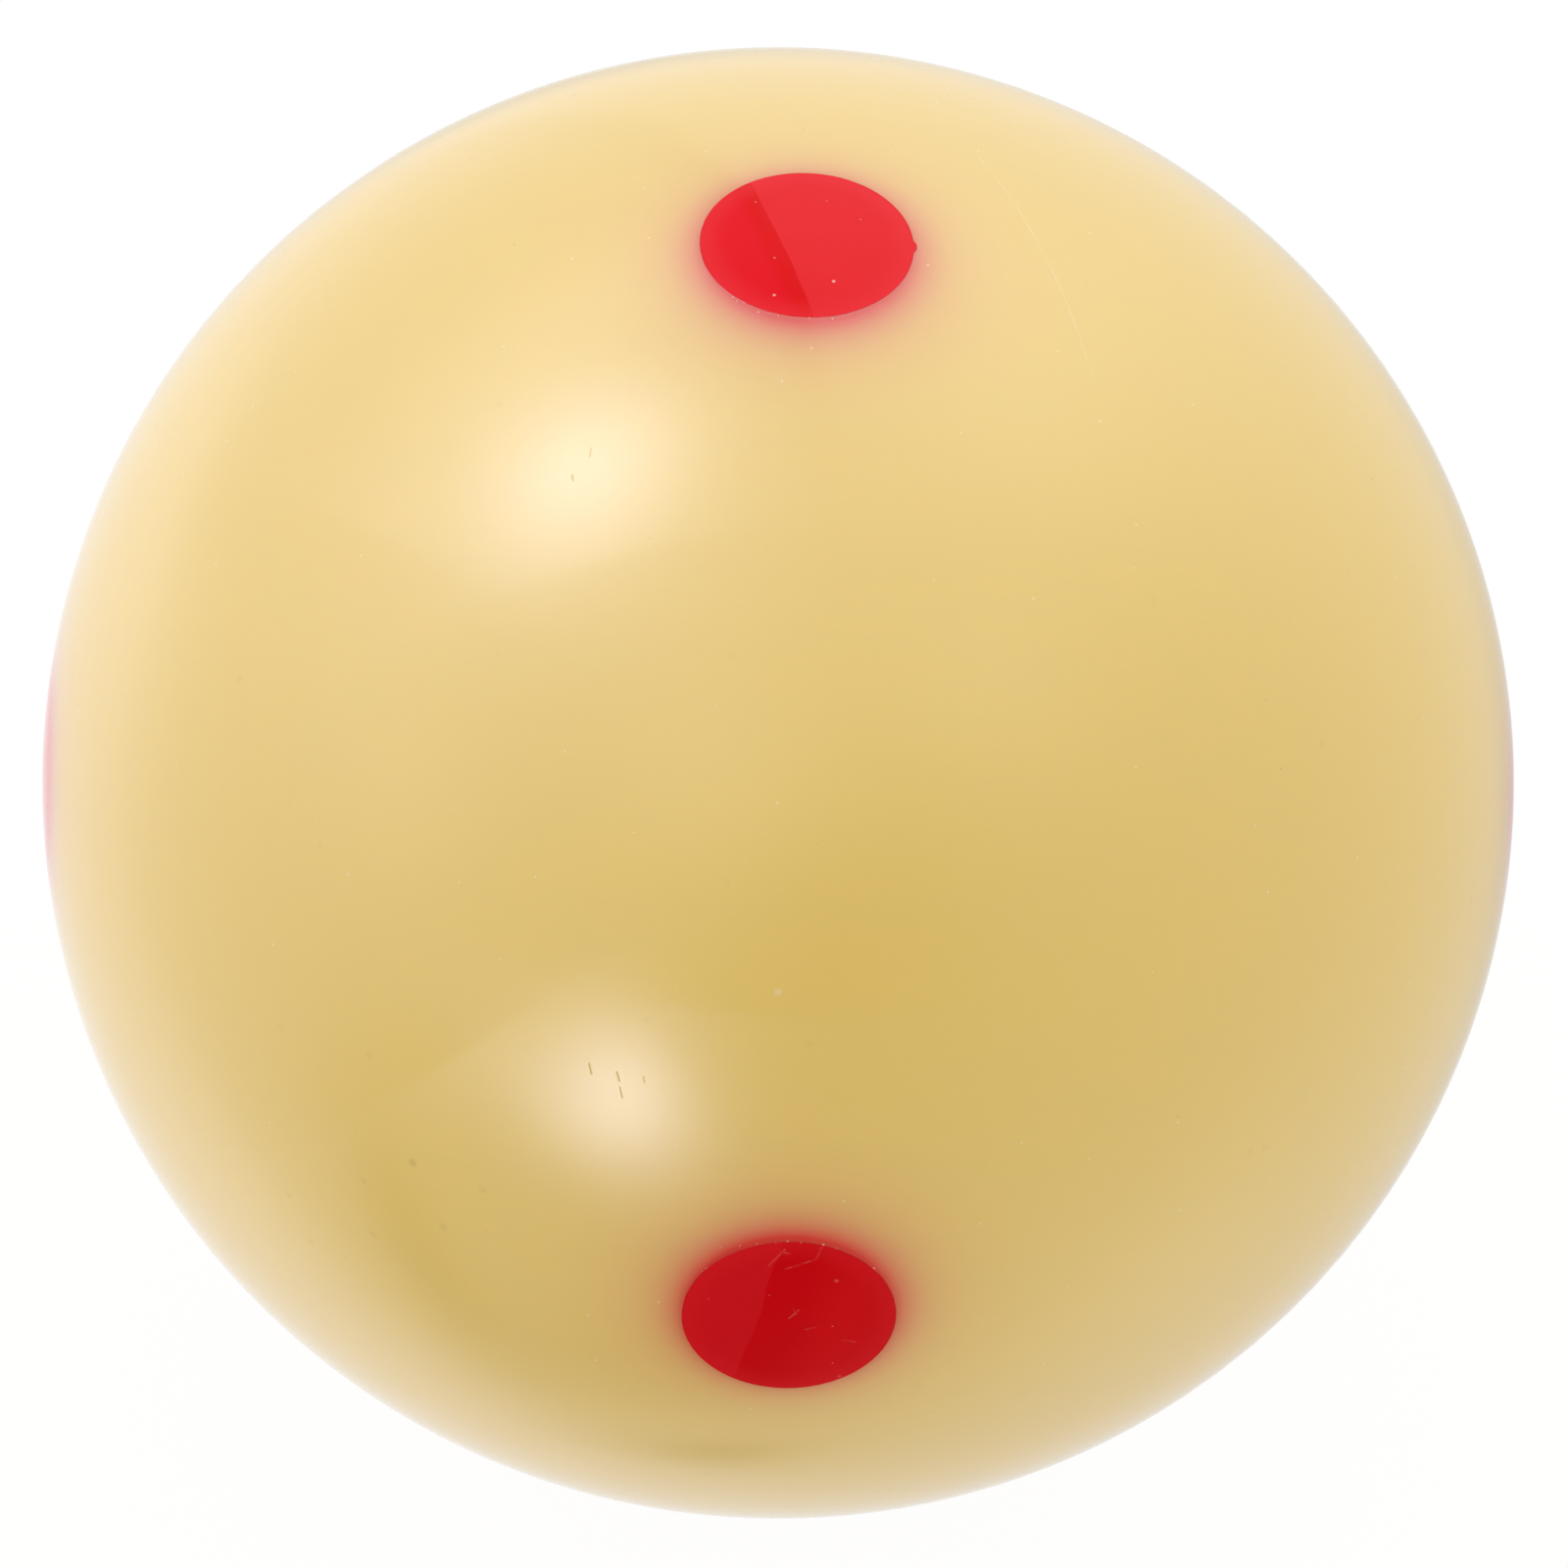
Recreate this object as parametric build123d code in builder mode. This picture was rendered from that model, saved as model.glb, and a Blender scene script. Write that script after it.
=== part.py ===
from build123d import *

# Pool cue ball of cast resin: a dense core, an ivory body cast around it, and six red
# resin plugs set into blind pockets, which show as round dots on the polished surface.
#
# Millimetres. The origin is the ball's centre, +Z runs through the top dot, -Y through
# the front dot and +X through the right dot.
import os
from math import sqrt

# The ball
ball_diameter = 57.15  # 2 1/4 in, the standard pool ball
ball_radius = ball_diameter / 2

# The dots and the pockets that hold them
dot_diameter = 8.0
dot_radius = dot_diameter / 2
pocket_depth = 5.0  # at the pocket's axis, below the ball's surface
pocket_corner_radius = 1.0  # left by the rounded end of the pocket cutter
cutter_clearance = 2.0  # how far the cutter stands outside the ball while it cuts

# The core
core_diameter = 42.0
core_radius = core_diameter / 2
gate_flat_diameter = 8.0  # where the core's casting gate was ground off
gate_flat_radius = gate_flat_diameter / 2

# Worked out from the sizes above
pocket_floor = ball_radius - pocket_depth  # height of the pocket's floor above the centre
pocket_mouth = sqrt(ball_radius**2 - dot_radius**2)  # height of the pocket's rim
gate_flat_depth = sqrt(core_radius**2 - gate_flat_radius**2)

# The profiles of the body and the core stand in a plane turned 45 degrees about Z, so
# that the seams of their round faces pass between the side dots, clear of every pocket.
profile_plane = Plane(origin=(0, 0, 0), x_dir=(1, 1, 0), z_dir=(1, -1, 0))

# Each dot's outward direction, and a direction across it
dots = {
    "top": (Vector(0, 0, 1), Vector(1, 0, 0)),
    "bottom": (Vector(0, 0, -1), Vector(1, 0, 0)),
    "front": (Vector(0, -1, 0), Vector(1, 0, 0)),
    "back": (Vector(0, 1, 0), Vector(1, 0, 0)),
    "left": (Vector(-1, 0, 0), Vector(0, 1, 0)),
    "right": (Vector(1, 0, 0), Vector(0, 1, 0)),
}


def dot_plane(outward, across):
    """The plane through a dot's axis, with x across the dot and y outward along the axis."""
    return Plane(origin=(0, 0, 0), x_dir=across, z_dir=across.cross(outward))


os.makedirs("parts", exist_ok=True)

# Core: a ball of densely filled resin, with a flat at the bottom where its gate was ground off
with BuildPart() as core:
    with BuildSketch(profile_plane):
        with BuildLine():
            Line((0, core_radius), (0, -gate_flat_depth))
            Line((0, -gate_flat_depth), (gate_flat_radius, -gate_flat_depth))
            ThreePointArc((gate_flat_radius, -gate_flat_depth), (core_radius, 0), (0, core_radius))
        make_face()
    revolve(axis=Axis.Z)
core.part.label = "core"
export_step(core.part, "parts/core.step")

# Body: ivory resin between the core and the ball's surface, with a blind round pocket for each dot
with BuildPart() as ball_body:
    with BuildSketch(profile_plane):
        with BuildLine():
            Line((0, -ball_radius), (0, -gate_flat_depth))
            Line((0, -gate_flat_depth), (gate_flat_radius, -gate_flat_depth))
            ThreePointArc((gate_flat_radius, -gate_flat_depth), (core_radius, 0), (0, core_radius))
            Line((0, core_radius), (0, ball_radius))
            ThreePointArc((0, ball_radius), (ball_radius, 0), (0, -ball_radius))
        make_face()
    revolve(axis=Axis.Z)
    for outward, across in dots.values():
        with BuildSketch(dot_plane(outward, across)):
            with BuildLine():
                Polyline(
                    (0, pocket_floor),
                    (dot_radius, pocket_floor),
                    (dot_radius, ball_radius + cutter_clearance),
                    (0, ball_radius + cutter_clearance),
                    close=True,
                )
            pocket_face = make_face()
            floor_corner = pocket_face.vertices().sort_by_distance((dot_radius, pocket_floor))[0]
            fillet(floor_corner, radius=pocket_corner_radius)
        revolve(axis=Axis((0, 0, 0), outward), mode=Mode.SUBTRACT)
ball_body.part.label = "ball_body"
export_step(ball_body.part, "parts/ball_body.step")

# Dot plugs: red resin that fills each pocket and is ground flush, so its outer face is part of the ball
for name, (outward, across) in dots.items():
    with BuildPart() as dot_plug:
        with BuildSketch(dot_plane(outward, across)):
            with BuildLine():
                Line((0, ball_radius), (0, pocket_floor))
                Line((0, pocket_floor), (dot_radius, pocket_floor))
                Line((dot_radius, pocket_floor), (dot_radius, pocket_mouth))
                RadiusArc((dot_radius, pocket_mouth), (0, ball_radius), -ball_radius)
            plug_face = make_face()
            floor_corner = plug_face.vertices().sort_by_distance((dot_radius, pocket_floor))[0]
            fillet(floor_corner, radius=pocket_corner_radius)
        revolve(axis=Axis((0, 0, 0), outward))
    dot_plug.part.label = f"dot_plug_{name}"
    export_step(dot_plug.part, f"parts/dot_plug_{name}.step")
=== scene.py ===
"""A pool cue ball of cast resin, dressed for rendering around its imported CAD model.

The ball is an ivory shell cast round a dense core, with a red plug in each of six blind
pockets. Lengths in the classes below are millimetres; meshes are in metres. +Z runs
through the top dot, -Y through the front dot and +X through the right dot.
"""

import sys

import logging
import math
from dataclasses import dataclass, field, replace
from enum import Enum

import bpy
from mathutils import Matrix, Vector


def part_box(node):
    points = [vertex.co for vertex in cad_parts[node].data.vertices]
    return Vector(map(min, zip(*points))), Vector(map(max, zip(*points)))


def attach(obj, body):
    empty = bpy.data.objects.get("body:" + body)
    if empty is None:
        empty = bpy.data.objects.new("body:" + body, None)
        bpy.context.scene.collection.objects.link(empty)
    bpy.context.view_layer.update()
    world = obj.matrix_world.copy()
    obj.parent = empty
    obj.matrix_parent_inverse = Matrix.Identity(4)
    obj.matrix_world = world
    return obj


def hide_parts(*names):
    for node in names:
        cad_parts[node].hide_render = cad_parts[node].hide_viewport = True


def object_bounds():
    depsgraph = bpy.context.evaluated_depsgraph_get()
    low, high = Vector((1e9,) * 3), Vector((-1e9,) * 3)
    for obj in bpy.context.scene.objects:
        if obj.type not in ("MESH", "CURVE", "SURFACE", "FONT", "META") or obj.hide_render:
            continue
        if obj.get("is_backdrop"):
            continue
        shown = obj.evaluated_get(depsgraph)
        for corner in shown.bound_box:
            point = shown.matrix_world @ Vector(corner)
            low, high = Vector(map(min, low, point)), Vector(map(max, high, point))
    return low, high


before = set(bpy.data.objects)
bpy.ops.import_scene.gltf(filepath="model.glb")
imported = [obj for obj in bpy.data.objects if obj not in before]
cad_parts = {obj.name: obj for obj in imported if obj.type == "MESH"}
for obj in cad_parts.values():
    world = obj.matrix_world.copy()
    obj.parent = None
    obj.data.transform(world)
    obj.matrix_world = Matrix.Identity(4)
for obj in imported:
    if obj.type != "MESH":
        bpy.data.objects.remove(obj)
cad_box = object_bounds()

MM = 0.001  # one millimetre in metres
CRISP = 0.012  # half of the blur along a crisp side in the studio, as a sine

Node = bpy.types.Node
NodeTree = bpy.types.NodeTree
Section = list[tuple[float, ...]]  # points as radius, height, normal across, normal along

log = logging.getLogger("cue_ball")


def linear(colour: str) -> tuple[float, float, float, float]:
    """Turns an sRGB hex colour to linear values.

    Args:
        colour: six hex digits, such as "e3c27c".

    Returns:
        Red, green, blue and an alpha of 1.
    """
    parts = [int(colour[i : i + 2], 16) / 255 for i in (0, 2, 4)]
    red, green, blue = [
        c / 12.92 if c <= 0.04045 else ((c + 0.055) / 1.055) ** 2.4 for c in parts
    ]
    return red, green, blue, 1.0


def heading(azimuth: float, elevation: float) -> Vector:
    """The unit vector that points to an azimuth and elevation.

    Args:
        azimuth: degrees round +Z, 0 at the front (-Y) and 90 at the right (+X).
        elevation: degrees above the equator.

    Returns:
        The direction in the row frame.
    """
    a = math.radians(azimuth)
    e = math.radians(elevation)
    return Vector((math.sin(a) * math.cos(e), -math.cos(a) * math.cos(e), math.sin(e)))


def facing(azimuth: float, elevation: float, roll: float) -> Matrix:
    """The turn that points z to an azimuth and elevation, with x level until it is rolled.

    Args:
        azimuth: degrees round +Z.
        elevation: degrees above the equator.
        roll: degrees round z.

    Returns:
        The rotation.
    """
    centre = heading(azimuth, elevation)
    level = heading(azimuth + 90, 0)
    turned = Matrix((level, centre.cross(level), centre)).transposed()
    return turned @ Matrix.Rotation(math.radians(roll), 3, "Z")


def add_node(
    tree: NodeTree, kind: str, inputs: dict[str | int, object] | None = None, **settings: object
) -> Node:
    """Adds one shader node with its settings and links.

    Args:
        tree: the node tree that gets the node.
        kind: the node's type name, after "ShaderNode".
        inputs: what goes into its sockets, by name or number: a value, another node's
            output socket, or a node, which stands for its first output in use.
        settings: the node's own properties.

    Returns:
        The new node.
    """
    node = tree.nodes.new(f"ShaderNode{kind}")
    for name, value in settings.items():
        setattr(node, name, value)
    for key, value in (inputs or {}).items():
        if isinstance(value, Node):
            value = next(output for output in value.outputs if output.enabled)
        if isinstance(value, bpy.types.NodeSocket):
            tree.links.new(value, node.inputs[key])
        else:
            node.inputs[key].default_value = value
    return node


class Dot(Enum):
    """The six dots, each with its outward direction and a direction across it."""

    TOP = ((0, 0, 1), (1, 0, 0))
    BOTTOM = ((0, 0, -1), (1, 0, 0))
    FRONT = ((0, -1, 0), (1, 0, 0))
    BACK = ((0, 1, 0), (1, 0, 0))
    LEFT = ((-1, 0, 0), (0, 1, 0))
    RIGHT = ((1, 0, 0), (0, 1, 0))

    @property
    def axes(self) -> Matrix:
        """Turns a point on an upright dot's axes, with z outward, into the row frame."""
        outward, across = (Vector(direction) for direction in self.value)
        return Matrix((across, outward.cross(across), outward)).transposed()

    @property
    def label(self) -> str:
        """The dot's name as the CAD nodes spell it."""
        return self.name.lower()


@dataclass
class Skin:
    """The points, exact normals and faces of one closed piece, in millimetres."""

    points: list[Vector] = field(default_factory=list)
    normals: list[Vector] = field(default_factory=list)
    faces: list[tuple[int, ...]] = field(default_factory=list)
    seen: dict[tuple[float, ...], int] = field(default_factory=dict)

    def add_point(self, point: Vector, normal: Vector) -> int:
        """Adds a point, or finds the one that is there already.

        Args:
            point: the point's place.
            normal: the surface's outward direction there.

        Returns:
            The point's number.
        """
        key = tuple(round(c, 5) + 0.0 for c in point)
        if key not in self.seen:
            self.seen[key] = len(self.points)
            self.points.append(point)
            self.normals.append(normal)
        return self.seen[key]

    def sweep(self, axes: Matrix, columns: list[Section]) -> None:
        """Joins sections round an axis into a band of faces.

        Args:
            axes: turns upright points into the row frame.
            columns: one section for each azimuth, evenly spaced round the axis.
        """
        grid = []
        for j, column in enumerate(columns):
            turn = math.tau * j / len(columns)
            c = math.cos(turn)
            s = math.sin(turn)
            line = []
            for r, h, a, b in column:
                normal = Vector((a * c, a * s, b))
                line.append(self.add_point(axes @ Vector((r * c, r * s, h)), axes @ normal))
            grid.append(line)
        for j, here in enumerate(grid):
            there = grid[(j + 1) % len(grid)]
            for i in range(len(here) - 1):
                corners = [here[i], here[i + 1], there[i + 1], there[i]]
                kept = list(dict.fromkeys(corners))
                if len(kept) > 2:
                    self.faces.append(tuple(kept))

    def build(self, name: str) -> bpy.types.Object:
        """Makes the mesh object, in metres, with its exact normals.

        Args:
            name: the piece's name.

        Returns:
            The new object, linked to the scene.
        """
        mesh = bpy.data.meshes.new(name)
        mesh.from_pydata([p * MM for p in self.points], [], self.faces)
        mesh.shade_smooth()
        mesh.normals_split_custom_set_from_vertices([n.normalized() for n in self.normals])
        piece = bpy.data.objects.new(name, mesh)
        bpy.context.scene.collection.objects.link(piece)
        return piece


@dataclass(frozen=True)
class Nib:
    """A spot where red resin ran a little way out of its pocket before it set."""

    azimuth: float = 0.0  # degrees round the dot's axis
    reach: float = 0.11  # how far it runs past the round outline
    half_width: float = 0.34
    blunt: float = 0.45  # the share of its width that is flat
    depth: float = 0.6  # how far down the pocket's wall it fades out


@dataclass
class Pocket:
    """A blind round pocket and the plug that fills it, about an upright axis."""

    ball_radius: float
    floor_height: float
    radius: float = 4.0
    corner: float = 1.0  # rounding between the wall and the floor
    edge: float = 0.007  # rounding of the pocket's rim and the plug's rim
    bond: float = 0.005  # the plug is this much slimmer than its pocket
    nib: Nib | None = None
    rings: tuple[float, ...] = (2.2, 1.2, 0.6, 0.35, 0.15, 0.0)  # on the wall, below its top
    lowest_ring: float = 0.05  # above the corner's rounding

    def run_out(self, azimuth: float) -> float:
        """How far the outline runs past its circle.

        Args:
            azimuth: radians round the axis.

        Returns:
            Millimetres, 0 away from the nib.
        """
        if self.nib is None:
            return 0.0
        apart = math.remainder(azimuth - math.radians(self.nib.azimuth), math.tau)
        share = abs(apart) * self.radius / self.nib.half_width
        slope = (share - self.nib.blunt) / (1 - self.nib.blunt)
        return self.nib.reach * math.cos(min(max(slope, 0.0), 1.0) * math.pi / 2) ** 2

    def wall(self, azimuth: float, radius: float) -> Section:
        """The pocket's section from the middle of its floor to the foot of its rim.

        Args:
            azimuth: radians round the axis.
            radius: the wall's radius.

        Returns:
            The section, with normals into the pocket.
        """
        flat = radius - self.corner
        section = [(flat * k / 4, self.floor_height, 0.0, 1.0) for k in range(5)]
        for k in range(1, 7):
            t = math.pi / 2 * k / 6
            across = flat + self.corner * math.sin(t)
            height = self.floor_height + self.corner * (1 - math.cos(t))
            section.append((across, height, -math.sin(t), math.cos(t)))
        run_out = self.run_out(azimuth)
        top = math.sqrt(self.ball_radius**2 - (radius + run_out) ** 2) - self.edge
        foot = self.floor_height + self.corner
        fade = (self.nib or Nib()).depth
        for below in self.rings:
            share = max(0.0, 1 - below / fade) ** 2
            height = max(top - below, foot + self.lowest_ring)
            section.append((radius + run_out * share, height, -1.0, 0.0))
        return section


@dataclass
class BallBody:
    """The ivory shell: six spherical patches, one round each pocket, and the core's hollow."""

    ball_radius: float
    hollow_radius: float
    gate_flat_radius: float
    pockets: dict[Dot, Pocket]
    name: str = "ivory_body"
    turns: int = 240  # points round each pocket
    rings: int = 26  # rings from a pocket's rim to its patch's border
    spread: float = 2.0  # how much finer the rings are near the rim
    skin_gap: float = 0.05  # between the core and its hollow
    hollow_steps: int = 48  # up the hollow's wall

    def column(self, pocket: Pocket, azimuth: float) -> Section:
        """A patch's section from the middle of its pocket's floor to its border.

        Args:
            pocket: the patch's pocket.
            azimuth: radians round the dot's axis.

        Returns:
            The section.
        """
        section = pocket.wall(azimuth, pocket.radius + pocket.bond)
        radius, height = section[-1][:2]
        for k in range(1, 4):
            t = math.pi / 2 * k / 3
            across = radius + pocket.edge * (1 - math.cos(t))
            section.append((across, height + pocket.edge * math.sin(t), -math.cos(t), math.sin(t)))
        rim = math.asin((radius + pocket.edge) / self.ball_radius)
        quarter = math.remainder(azimuth, math.pi / 2)
        border = math.atan(1 / math.cos(quarter))
        for k in range(1, self.rings + 1):
            t = rim + (border - rim) * (k / self.rings) ** self.spread
            a = math.sin(t)
            b = math.cos(t)
            section.append((self.ball_radius * a, self.ball_radius * b, a, b))
        return section

    def hollow(self) -> Section:
        """The hollow's section from the core's gate flat up to the top of the core.

        Returns:
            The section, with normals into the hollow.
        """
        radius = self.hollow_radius + self.skin_gap
        start = math.asin(self.gate_flat_radius / radius)
        flat = -radius * math.cos(start)
        section = [(self.gate_flat_radius * k / 3, flat, 0.0, 1.0) for k in range(3)]
        for k in range(self.hollow_steps):
            t = start + (math.pi - start) * k / self.hollow_steps
            section.append((radius * math.sin(t), -radius * math.cos(t), -math.sin(t), math.cos(t)))
        return section + [(0.0, radius, 0.0, -1.0)]

    def build(self) -> bpy.types.Object:
        """Makes the shell.

        Returns:
            The piece, undressed.
        """
        skin = Skin()
        for dot, pocket in self.pockets.items():
            azimuths = [math.tau * j / self.turns for j in range(self.turns)]
            skin.sweep(dot.axes, [self.column(pocket, a) for a in azimuths])
        skin.sweep(Matrix.Identity(3), [self.hollow()] * (self.turns // 2))
        return skin.build(self.name)


@dataclass
class DotPlug:
    """One red plug: a flush domed face, a straight wall and a rounded foot."""

    dot: Dot
    pocket: Pocket
    turns: int = 240
    rings: int = 10  # rings from the middle of the face to its edge

    def column(self, azimuth: float) -> Section:
        """The plug's section from the middle of its face to the middle of its foot.

        Args:
            azimuth: radians round the dot's axis.

        Returns:
            The section.
        """
        pocket = self.pocket
        wall = [(r, h, -a, -b) for r, h, a, b in reversed(pocket.wall(azimuth, pocket.radius))]
        radius, height = wall[0][:2]
        face = radius - pocket.edge
        section = []
        for k in range(self.rings + 1):
            across = face * k / self.rings
            up = math.sqrt(pocket.ball_radius**2 - across**2)
            section.append((across, up, across / pocket.ball_radius, up / pocket.ball_radius))
        crown = section[-1][1] - height
        for k in range(1, 3):
            t = math.pi / 2 * k / 3
            a = math.sin(t)
            b = math.cos(t)
            section.append((face + pocket.edge * a, height + crown * b, a, b))
        return section + wall

    def build(self) -> bpy.types.Object:
        """Makes the plug.

        Returns:
            The piece, undressed.
        """
        skin = Skin()
        azimuths = [math.tau * j / self.turns for j in range(self.turns)]
        skin.sweep(self.dot.axes, [self.column(a) for a in azimuths])
        return skin.build(f"red_dot_{self.dot.label}")


@dataclass(frozen=True)
class Surface:
    """The ball's surface as a finish sees it, with the nodes that say where a point is."""

    tree: NodeTree
    place: Node  # the place on the ball, in millimetres
    unit: Node  # the direction from the ball's centre
    ball_radius: float
    dot_radius: float

    @classmethod
    def begin(cls, tree: NodeTree, ball_radius: float, dot_radius: float) -> "Surface":
        """Adds the nodes that find the place.

        Args:
            tree: the material's node tree.
            ball_radius: in millimetres.
            dot_radius: in millimetres.

        Returns:
            The surface.
        """
        spot = add_node(tree, "TexCoord").outputs["Object"]
        place = add_node(tree, "VectorMath", {0: spot, "Scale": 1 / MM}, operation="SCALE")
        unit = add_node(tree, "VectorMath", {0: place}, operation="NORMALIZE")
        return cls(tree, place, unit, ball_radius, dot_radius)

    def past_rim(self, place: Node) -> Node:
        """Adds the nodes that measure how far a place is outside the nearest dot.

        Args:
            place: the place on the ball, in millimetres.

        Returns:
            The way along the ball to the dot's rim in millimetres, below 0 inside the dot.
        """
        unit = add_node(self.tree, "VectorMath", {0: place}, operation="NORMALIZE")
        size = add_node(self.tree, "VectorMath", {0: unit}, operation="ABSOLUTE")
        widest, *others = add_node(self.tree, "SeparateXYZ", {0: size}).outputs
        for other in others:
            widest = add_node(self.tree, "Math", {0: widest, 1: other}, operation="MAXIMUM")
        polar = add_node(self.tree, "Math", {0: widest}, operation="ARCCOSINE")
        rim = math.asin(self.dot_radius / self.ball_radius)
        past = add_node(self.tree, "Math", {0: polar, 1: rim}, operation="SUBTRACT")
        return add_node(self.tree, "Math", {0: past, 1: self.ball_radius}, operation="MULTIPLY")


@dataclass(frozen=True)
class Scatter:
    """Round spots scattered through a resin, at most one to a cell."""

    spacing: float  # between neighbouring cells
    width: float  # of a spot that is cut through its middle
    share: float  # how many of the cells have one
    strength: float = 1.0
    softness: float = 0.5  # 0 for a crisp edge, 1 for a spot that fades from its middle

    def shade(self, surface: Surface) -> Node:
        """Adds the nodes that draw the spots.

        Args:
            surface: where they are drawn.

        Returns:
            The strength in a spot and 0 outside.
        """
        tree = surface.tree
        cells = add_node(
            tree,
            "TexVoronoi",
            {"Vector": surface.place, "Scale": 1 / self.spacing, "Randomness": 1.0},
        )
        reach = self.width / 2 / self.spacing
        spot = add_node(
            tree,
            "MapRange",
            {
                "Value": cells.outputs["Distance"],
                "From Min": reach,
                "From Max": reach * (1 - self.softness),
                "To Max": self.strength,
            },
            interpolation_type="SMOOTHSTEP",
        )
        draw = add_node(tree, "SeparateColor", {0: cells.outputs["Color"]})
        chosen = add_node(tree, "Math", {0: draw, 1: self.share}, operation="LESS_THAN")
        return add_node(tree, "Math", {0: spot, 1: chosen}, operation="MULTIPLY")


@dataclass(frozen=True)
class Mark:
    """One speck, pit or bubble, by where it lies on the ball in degrees, and its width."""

    azimuth: float
    elevation: float
    width: float
    strength: float

    def shade(self, surface: Surface) -> Node:
        """Adds the nodes that draw the mark.

        Args:
            surface: where it is drawn.

        Returns:
            The mark's strength in its middle, fading to 0 at its edge.
        """
        centre = heading(self.azimuth, self.elevation)
        apart = add_node(
            surface.tree, "VectorMath", {0: surface.unit, 1: centre}, operation="DISTANCE"
        )
        edge = self.width / 2 / surface.ball_radius
        return add_node(
            surface.tree,
            "MapRange",
            {"Value": apart, "From Min": edge, "From Max": 0.0, "To Max": self.strength},
            interpolation_type="SMOOTHSTEP",
        )


@dataclass(frozen=True)
class Hairline:
    """A fine scratch along part of a circle on the ball, brighter in some places."""

    azimuth: float  # of the circle's axis
    elevation: float
    opening: float  # degrees from the circle's axis to the circle
    back: float  # where it ends, in ball radii along +Y
    front: float
    width: float = 0.05
    faintest: float = 0.08
    brightest: float = 0.4
    patches: float = 0.7  # bright places to a millimetre

    def shade(self, surface: Surface) -> Node:
        """Adds the nodes that draw the scratch.

        Args:
            surface: where it is drawn.

        Returns:
            The scratch's strength, 0 off it.
        """
        tree = surface.tree
        axis = heading(self.azimuth, self.elevation)
        lean = add_node(tree, "VectorMath", {0: surface.unit, 1: axis}, operation="DOT_PRODUCT")
        circle = math.cos(math.radians(self.opening))
        off = add_node(tree, "Math", {0: lean, 1: circle}, operation="SUBTRACT")
        apart = add_node(tree, "Math", {0: off}, operation="ABSOLUTE")
        line = add_node(
            tree,
            "MapRange",
            {"Value": apart, "From Min": self.width / surface.ball_radius, "From Max": 0.0},
            interpolation_type="SMOOTHSTEP",
        )
        along = add_node(tree, "SeparateXYZ", {0: surface.unit}).outputs["Y"]
        middle = (self.back + self.front) / 2
        half = abs(self.back - self.front) / 2
        past = add_node(tree, "Math", {0: along, 1: middle}, operation="SUBTRACT")
        reach = add_node(tree, "Math", {0: past}, operation="ABSOLUTE")
        ends = add_node(
            tree,
            "MapRange",
            {"Value": reach, "From Min": half, "From Max": half * 0.7},
            interpolation_type="SMOOTHSTEP",
        )
        scratch = add_node(tree, "Math", {0: line, 1: ends}, operation="MULTIPLY")
        broken = add_node(
            tree, "TexNoise", {"Vector": surface.place, "Scale": self.patches, "Detail": 2.0}
        )
        flaked = add_node(
            tree,
            "MapRange",
            {
                "Value": broken,
                "From Min": 0.35,
                "From Max": 0.65,
                "To Min": self.faintest,
                "To Max": self.brightest,
            },
        )
        return add_node(tree, "Math", {0: scratch, 1: flaked}, operation="MULTIPLY")


@dataclass(frozen=True)
class Scuff:
    """A short fine scuff or nick between two places, each an azimuth and elevation."""

    start: tuple[float, float]
    end: tuple[float, float]
    width: float
    strength: float

    def shade(self, surface: Surface) -> Node:
        """Adds the nodes that draw the scuff.

        Args:
            surface: where it is drawn.

        Returns:
            The scuff's strength along its middle, fading to 0 at its sides.
        """
        tree = surface.tree
        first = heading(*self.start)
        run = heading(*self.end) - first
        away = add_node(tree, "VectorMath", {0: surface.unit, 1: first}, operation="SUBTRACT")
        rate = run / run.length_squared
        along = add_node(tree, "VectorMath", {0: away, 1: rate}, operation="DOT_PRODUCT")
        kept = add_node(tree, "Math", {0: along, 1: 0.0}, operation="ADD", use_clamp=True)
        nearest = add_node(tree, "VectorMath", {0: run, "Scale": kept}, operation="SCALE")
        apart = add_node(tree, "VectorMath", {0: away, 1: nearest}, operation="DISTANCE")
        edge = self.width / 2 / surface.ball_radius
        return add_node(
            tree,
            "MapRange",
            {"Value": apart, "From Min": edge, "From Max": 0.0, "To Max": self.strength},
            interpolation_type="SMOOTHSTEP",
        )


def drawn(surface: Surface, *patterns: Scatter | Mark | Hairline | Scuff | Node) -> Node:
    """Draws several patterns over each other, the strongest on top.

    Args:
        surface: where they are drawn.
        patterns: the patterns, some of which may be drawn already.

    Returns:
        The strongest of them at each place.
    """
    nodes = [p if isinstance(p, Node) else p.shade(surface) for p in patterns]
    strongest = nodes[0]
    for node in nodes[1:]:
        strongest = add_node(surface.tree, "Math", {0: strongest, 1: node}, operation="MAXIMUM")
    return strongest


# Painted glints along the rims of the top and the front plug, drawn as small pale specks
PAINTED_RIM_GLINTS = (
    Mark(-43.5, 81.8, 0.11, 0.42),
    Mark(-40, 81.7, 0.10, 0.42),
    Mark(-36.5, 81.9, 0.10, 0.42),
    Mark(-26.5, 81.6, 0.13, 0.49),
    Mark(-16, 81.8, 0.10, 0.35),
    Mark(0.4, 81.9, 0.11, 0.42),
    Mark(12.5, 81.7, 0.12, 0.49),
    Mark(-0.4, 8.1, 0.12, 0.56),
    Mark(0.6, 8.0, 0.11, 0.49),
    Mark(2.3, 7.8, 0.14, 0.63),
    Mark(6.2, 5.3, 0.12, 0.63),
    Mark(-1.3, 7.9, 0.10, 0.28),
    Mark(-2.7, 7.8, 0.10, 0.24),
    Mark(-4.0, 7.4, 0.10, 0.21),
    Mark(-5.4, 7.2, 0.11, 0.21),
    Mark(-6.4, 5.0, 0.10, 0.28),
    Mark(-6.7, 4.7, 0.10, 0.21),
    Mark(3.3, 7.4, 0.10, 0.24),
)
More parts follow.
